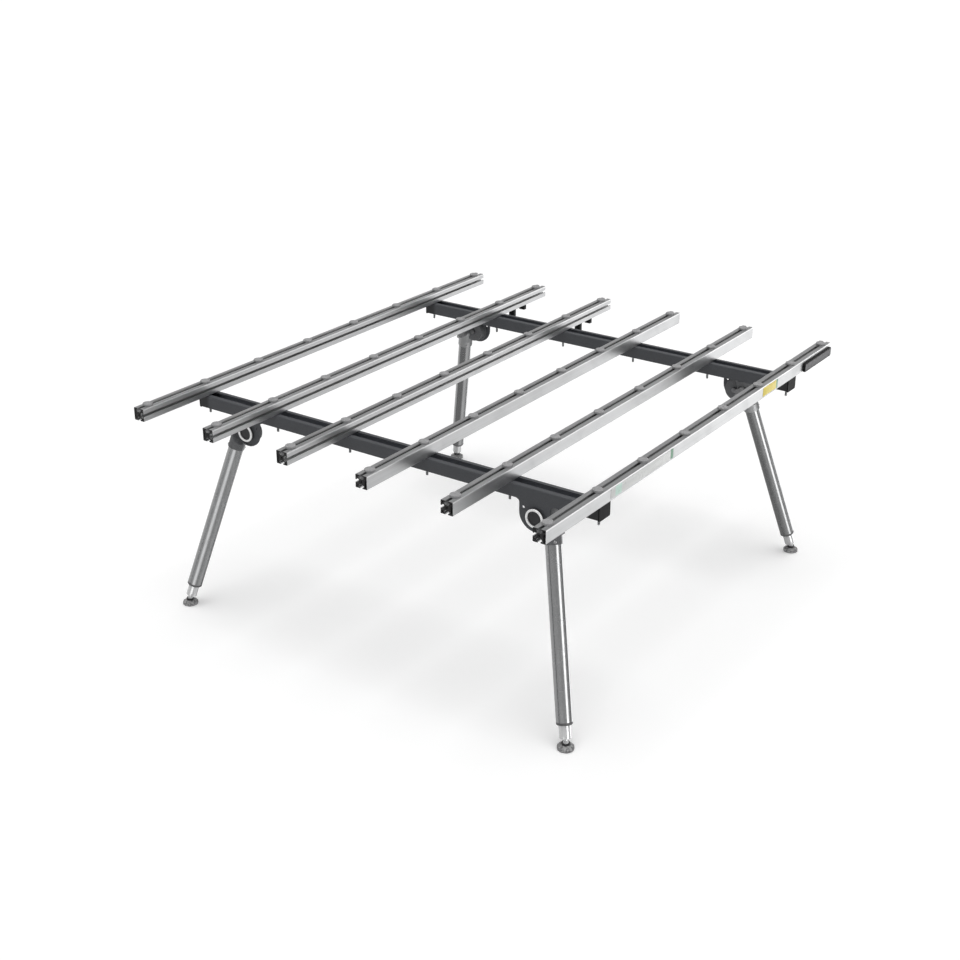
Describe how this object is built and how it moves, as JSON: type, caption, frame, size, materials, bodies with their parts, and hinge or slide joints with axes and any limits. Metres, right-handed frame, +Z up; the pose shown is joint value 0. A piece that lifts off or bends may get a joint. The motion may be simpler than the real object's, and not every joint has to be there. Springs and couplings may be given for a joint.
{
  "type": "slab work table",
  "caption": "Folding work table with slotted aluminium rails on rubber pads, two lipped steel beams, splayed folding legs and levelling feet.",
  "frame": {"origin": "on the floor under the middle of the table", "axes": "+X along the two beams to the right, +Y along the six rails to the rear, +Z up"},
  "size_m": [1.5192, 1.808, 0.75],
  "materials": {
    "rail_aluminium": "satin anodised extrusion",
    "pad_rubber": "matte grey rubber",
    "beam_paint": "anthracite powder coat, fine texture",
    "black_plastic": "black moulded plastic",
    "zinc_steel": "zinc plated",
    "cap_plastic": "dark grey moulded plastic",
    "polished_ring": "polished",
    "grip_rubber": "grey rubber",
    "socket_casting": "dark grey coating on a die casting",
    "leg_aluminium": "satin anodised grooved tube",
    "rivet_steel": "bright",
    "plug_plastic": "grey moulded plastic",
    "knob_plastic": "grey moulded plastic",
    "chromed_steel": "polished chrome",
    "foot_rubber": "grey rubber"
  },
  "bodies": {
    "table": {"rail_1": "rail_aluminium", "rail_2": "rail_aluminium", "rail_3": "rail_aluminium", "rail_4": "rail_aluminium", "rail_5": "rail_aluminium", "rail_6": "rail_aluminium", "rail_pads": "pad_rubber", "front_beam": "beam_paint", "rear_beam": "beam_paint", "beam_end_caps": "black_plastic", "rail_bolts": "zinc_steel", "rail_washers": "zinc_steel", "rail_nuts": "zinc_steel", "pivot_bolts": "zinc_steel", "pivot_nuts": "zinc_steel", "pivot_caps": "cap_plastic", "pivot_rings": "polished_ring", "side_grip": "black_plastic", "grip_insert": "grip_rubber", "rail_hooks": "black_plastic"},
    "leg_fl": {"leg_socket_fl": "socket_casting", "leg_tube_fl": "leg_aluminium", "leg_rivets_fl": "rivet_steel", "leg_plug_fl": "plug_plastic", "clamp_bolt_fl": "zinc_steel"},
    "knob_fl": {"clamp_knob_fl": "knob_plastic"},
    "sleeve_fl": {"foot_sleeve_fl": "chromed_steel"},
    "foot_fl": {"foot_cup_fl": "black_plastic", "foot_pad_fl": "foot_rubber"},
    "leg_fr": {"leg_socket_fr": "socket_casting", "leg_tube_fr": "leg_aluminium", "leg_rivets_fr": "rivet_steel", "leg_plug_fr": "plug_plastic", "clamp_bolt_fr": "zinc_steel"},
    "knob_fr": {"clamp_knob_fr": "knob_plastic"},
    "sleeve_fr": {"foot_sleeve_fr": "chromed_steel"},
    "foot_fr": {"foot_cup_fr": "black_plastic", "foot_pad_fr": "foot_rubber"},
    "leg_rl": {"leg_socket_rl": "socket_casting", "leg_tube_rl": "leg_aluminium", "leg_rivets_rl": "rivet_steel", "leg_plug_rl": "plug_plastic", "clamp_bolt_rl": "zinc_steel"},
    "knob_rl": {"clamp_knob_rl": "knob_plastic"},
    "sleeve_rl": {"foot_sleeve_rl": "chromed_steel"},
    "foot_rl": {"foot_cup_rl": "black_plastic", "foot_pad_rl": "foot_rubber"},
    "leg_rr": {"leg_socket_rr": "socket_casting", "leg_tube_rr": "leg_aluminium", "leg_rivets_rr": "rivet_steel", "leg_plug_rr": "plug_plastic", "clamp_bolt_rr": "zinc_steel"},
    "knob_rr": {"clamp_knob_rr": "knob_plastic"},
    "sleeve_rr": {"foot_sleeve_rr": "chromed_steel"},
    "foot_rr": {"foot_cup_rr": "black_plastic", "foot_pad_rr": "foot_rubber"}
  },
  "joints": [
    {"name": "leg_fold_fl", "type": "hinge", "parent": "table", "child": "leg_fl", "pos_m": [-0.543, -0.604, 0.618], "axis": [0, -1, 0], "range_deg": [0, 104]},
    {"name": "knob_turn_fl", "type": "hinge", "parent": "leg_fl", "child": "knob_fl", "pos_m": [-0.58, -0.577, 0.618], "axis": [0, -1, 0], "range_deg": [0, 360]},
    {"name": "foot_level_fl", "type": "slide", "parent": "leg_fl", "child": "sleeve_fl", "axis": [-0.239, -0.225, -0.9446], "range_m": [-0.02, 0.03]},
    {"name": "foot_tilt_fl", "type": "hinge", "parent": "sleeve_fl", "child": "foot_fl", "pos_m": [-0.73457, -0.75565, 0.019], "axis": [0, 1, 0], "range_deg": [-10, 10]},
    {"name": "leg_fold_fr", "type": "hinge", "parent": "table", "child": "leg_fr", "pos_m": [0.543, -0.604, 0.618], "axis": [0, 1, 0], "range_deg": [0, 95]},
    {"name": "knob_turn_fr", "type": "hinge", "parent": "leg_fr", "child": "knob_fr", "pos_m": [0.58, -0.577, 0.618], "axis": [0, -1, 0], "range_deg": [0, 360]},
    {"name": "foot_level_fr", "type": "slide", "parent": "leg_fr", "child": "sleeve_fr", "axis": [0.239, -0.225, -0.9446], "range_m": [-0.02, 0.03]},
    {"name": "foot_tilt_fr", "type": "hinge", "parent": "sleeve_fr", "child": "foot_fr", "pos_m": [0.73457, -0.75565, 0.019], "axis": [0, 1, 0], "range_deg": [-10, 10]},
    {"name": "leg_fold_rl", "type": "hinge", "parent": "table", "child": "leg_rl", "pos_m": [-0.543, 0.604, 0.618], "axis": [0, -1, 0], "range_deg": [0, 104]},
    {"name": "knob_turn_rl", "type": "hinge", "parent": "leg_rl", "child": "knob_rl", "pos_m": [-0.58, 0.577, 0.618], "axis": [0, 1, 0], "range_deg": [0, 360]},
    {"name": "foot_level_rl", "type": "slide", "parent": "leg_rl", "child": "sleeve_rl", "axis": [-0.239, 0.225, -0.9446], "range_m": [-0.02, 0.03]},
    {"name": "foot_tilt_rl", "type": "hinge", "parent": "sleeve_rl", "child": "foot_rl", "pos_m": [-0.73457, 0.75565, 0.019], "axis": [0, 1, 0], "range_deg": [-10, 10]},
    {"name": "leg_fold_rr", "type": "hinge", "parent": "table", "child": "leg_rr", "pos_m": [0.543, 0.604, 0.618], "axis": [0, 1, 0], "range_deg": [0, 95]},
    {"name": "knob_turn_rr", "type": "hinge", "parent": "leg_rr", "child": "knob_rr", "pos_m": [0.58, 0.577, 0.618], "axis": [0, 1, 0], "range_deg": [0, 360]},
    {"name": "foot_level_rr", "type": "slide", "parent": "leg_rr", "child": "sleeve_rr", "axis": [0.239, 0.225, -0.9446], "range_m": [-0.02, 0.03]},
    {"name": "foot_tilt_rr", "type": "hinge", "parent": "sleeve_rr", "child": "foot_rr", "pos_m": [0.73457, 0.75565, 0.019], "axis": [0, 1, 0], "range_deg": [-10, 10]}
  ]
}
